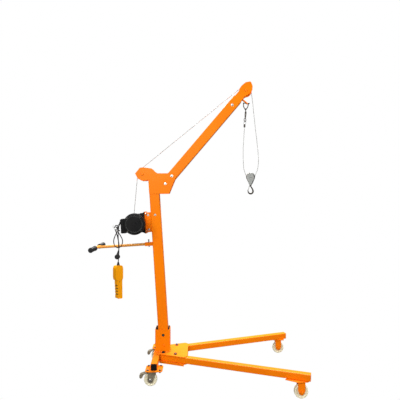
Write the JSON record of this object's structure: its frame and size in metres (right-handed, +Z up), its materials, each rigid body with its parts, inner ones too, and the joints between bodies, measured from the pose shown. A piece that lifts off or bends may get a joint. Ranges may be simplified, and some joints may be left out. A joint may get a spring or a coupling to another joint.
{
  "type": "mobile floor crane",
  "caption": "Mobile floor crane: leaning mast, angled boom, electric rope hoist with hook block, hand pendant, push handle and folding legs on wheels.",
  "frame": {"origin": "on the floor, under the middle of the crane's box", "axes": "+Z up, +X from the mast towards the leg tips, +Y across the crane, away from the motor"},
  "size_m": [1.6661, 0.936, 2.389],
  "materials": {
    "orange_paint": "gloss powder coat",
    "zinc_plate": "zinc plated",
    "dark_steel": "dark forged",
    "ivory_nylon": "cast nylon",
    "black_casting": "black paint",
    "black_rubber": "matte",
    "wire_rope": "galvanised strand",
    "yellow_plastic": "moulded",
    "green_plastic": "moulded"
  },
  "bodies": {
    "frame": {"rear_crossbeam": "orange_paint", "base_top_plate": "orange_paint", "base_bottom_plate": "orange_paint", "mast_socket": "orange_paint", "mast": "orange_paint", "head_plate_near": "orange_paint", "head_plate_far": "orange_paint", "boom": "orange_paint", "boom_tip_head": "orange_paint", "hoist_bracket": "orange_paint", "push_handle": "orange_paint", "leg_pivot_bolt_near": "zinc_plate", "leg_pivot_bolt_far": "zinc_plate", "caster_plate_near": "zinc_plate", "caster_plate_far": "zinc_plate", "socket_bolt": "zinc_plate", "boom_lower_bolt": "zinc_plate", "boom_upper_bolt": "zinc_plate", "boom_tip_bolt": "zinc_plate", "rear_sheave_axle": "zinc_plate", "tip_sheave_axle": "zinc_plate", "handle_lock_pin": "zinc_plate", "anchor_shackle": "dark_steel", "rope_swivel": "dark_steel", "rope_ferrule": "dark_steel", "hoist_frame": "black_casting", "motor_housing": "black_casting", "motor_end_cap": "black_casting", "gearbox_housing": "black_casting", "junction_box": "black_casting", "hoist_rope": "wire_rope", "hook_rope": "wire_rope", "handle_grip_near": "black_rubber", "handle_grip_far": "black_rubber", "pendant_cable": "black_rubber", "mains_lead": "black_rubber", "mains_plug": "black_rubber", "pendant_case": "yellow_plastic"},
    "leg_near": {"leg_near": "orange_paint", "front_fork_near": "orange_paint"},
    "leg_far": {"leg_far": "orange_paint", "front_fork_far": "orange_paint"},
    "front_wheel_near": {"front_wheel_near": "ivory_nylon"},
    "front_wheel_far": {"front_wheel_far": "ivory_nylon"},
    "caster_near": {"caster_fork_near": "zinc_plate"},
    "caster_far": {"caster_fork_far": "zinc_plate"},
    "rear_wheel_near": {"rear_wheel_near": "ivory_nylon"},
    "rear_wheel_far": {"rear_wheel_far": "ivory_nylon"},
    "brake_near": {"brake_pedal_near": "zinc_plate"},
    "brake_far": {"brake_pedal_far": "zinc_plate"},
    "hook_block": {"block_cheeks": "zinc_plate"},
    "block_sheave": {"block_sheave": "zinc_plate"},
    "hook": {"load_hook": "dark_steel"},
    "latch": {"hook_latch": "zinc_plate"},
    "drum": {"hoist_drum": "wire_rope"},
    "rotor": {"motor_rotor": "dark_steel"},
    "rear_sheave": {"rear_sheave": "zinc_plate"},
    "tip_sheave": {"tip_sheave": "zinc_plate"},
    "button_up": {"button_up": "green_plastic"},
    "button_down": {"button_down": "black_rubber"}
  },
  "joints": [
    {"name": "leg_fold_near", "type": "hinge", "parent": "frame", "child": "leg_near", "pos_m": [-0.164, -0.1, 0.155], "axis": [0, 0, 1], "range_deg": [0, 19.2]},
    {"name": "leg_fold_far", "type": "hinge", "parent": "frame", "child": "leg_far", "pos_m": [-0.164, 0.1, 0.155], "axis": [0, 0, -1], "range_deg": [0, 19.2]},
    {"name": "front_wheel_spin_near", "type": "hinge", "parent": "leg_near", "child": "front_wheel_near", "pos_m": [0.758, -0.428, 0.05], "axis": [0, 1, 0], "continuous": true},
    {"name": "front_wheel_spin_far", "type": "hinge", "parent": "leg_far", "child": "front_wheel_far", "pos_m": [0.758, 0.428, 0.05], "axis": [0, 1, 0], "continuous": true},
    {"name": "caster_swivel_near", "type": "hinge", "parent": "frame", "child": "caster_near", "pos_m": [-0.317, -0.235, 0.1], "axis": [0, 0, 1], "continuous": true},
    {"name": "rear_wheel_spin_near", "type": "hinge", "parent": "caster_near", "child": "rear_wheel_near", "pos_m": [-0.345, -0.235, 0.05], "axis": [0, 1, 0], "continuous": true},
    {"name": "brake_near", "type": "hinge", "parent": "caster_near", "child": "brake_near", "pos_m": [-0.364, -0.235, 0.104], "axis": [0, -1, 0], "range_deg": [0, 10]},
    {"name": "caster_swivel_far", "type": "hinge", "parent": "frame", "child": "caster_far", "pos_m": [-0.317, 0.235, 0.1], "axis": [0, 0, 1], "continuous": true},
    {"name": "rear_wheel_spin_far", "type": "hinge", "parent": "caster_far", "child": "rear_wheel_far", "pos_m": [-0.345, 0.235, 0.05], "axis": [0, 1, 0], "continuous": true},
    {"name": "brake_far", "type": "hinge", "parent": "caster_far", "child": "brake_far", "pos_m": [-0.364, 0.235, 0.104], "axis": [0, -1, 0], "range_deg": [0, 10]},
    {"name": "hook_lift", "type": "slide", "parent": "frame", "child": "hook_block", "axis": [0, 0, 1], "range_m": [0, 0.3], "deforming": ["hook_rope"]},
    {"name": "block_sheave_spin", "type": "hinge", "parent": "hook_block", "child": "block_sheave", "pos_m": [0.45, 0, 1.611], "axis": [0, 1, 0], "continuous": true},
    {"name": "hook_swivel", "type": "hinge", "parent": "hook_block", "child": "hook", "pos_m": [0.45, 0, 1.545], "axis": [0, 0, 1], "continuous": true},
    {"name": "latch_pivot", "type": "hinge", "parent": "hook", "child": "latch", "pos_m": [0.4425, 0, 1.535], "axis": [0, -1, 0], "range_deg": [0, 35], "stiffness_Nm_per_rad": 0.02, "springref_deg": -28.65},
    {"name": "drum_spin", "type": "hinge", "parent": "frame", "child": "drum", "pos_m": [-0.479, 0, 1.2319], "axis": [0, 1, 0], "continuous": true},
    {"name": "rotor_spin", "type": "hinge", "parent": "frame", "child": "rotor", "pos_m": [-0.479, 0, 1.2319], "axis": [0, 1, 0], "continuous": true},
    {"name": "rear_sheave_spin", "type": "hinge", "parent": "frame", "child": "rear_sheave", "pos_m": [-0.435, 0, 1.63], "axis": [0, 1, 0], "continuous": true},
    {"name": "tip_sheave_spin", "type": "hinge", "parent": "frame", "child": "tip_sheave", "pos_m": [0.409, 0, 2.318], "axis": [0, 1, 0], "continuous": true},
    {"name": "button_up", "type": "slide", "parent": "frame", "child": "button_up", "axis": [-0.7431, -0.6691, 0], "range_m": [0, 0.003], "stiffness_N_per_m": 300},
    {"name": "button_down", "type": "slide", "parent": "frame", "child": "button_down", "axis": [-0.7431, -0.6691, 0], "range_m": [0, 0.003], "stiffness_N_per_m": 300}
  ],
  "couplings": [
    {"joint": "drum_spin", "follows": "hook_lift", "rad_per_m": -52.632},
    {"joint": "rear_sheave_spin", "follows": "hook_lift", "rad_per_m": -43.478},
    {"joint": "tip_sheave_spin", "follows": "hook_lift", "rad_per_m": -43.478},
    {"joint": "block_sheave_spin", "follows": "hook_lift", "rad_per_m": -31.25}
  ]
}
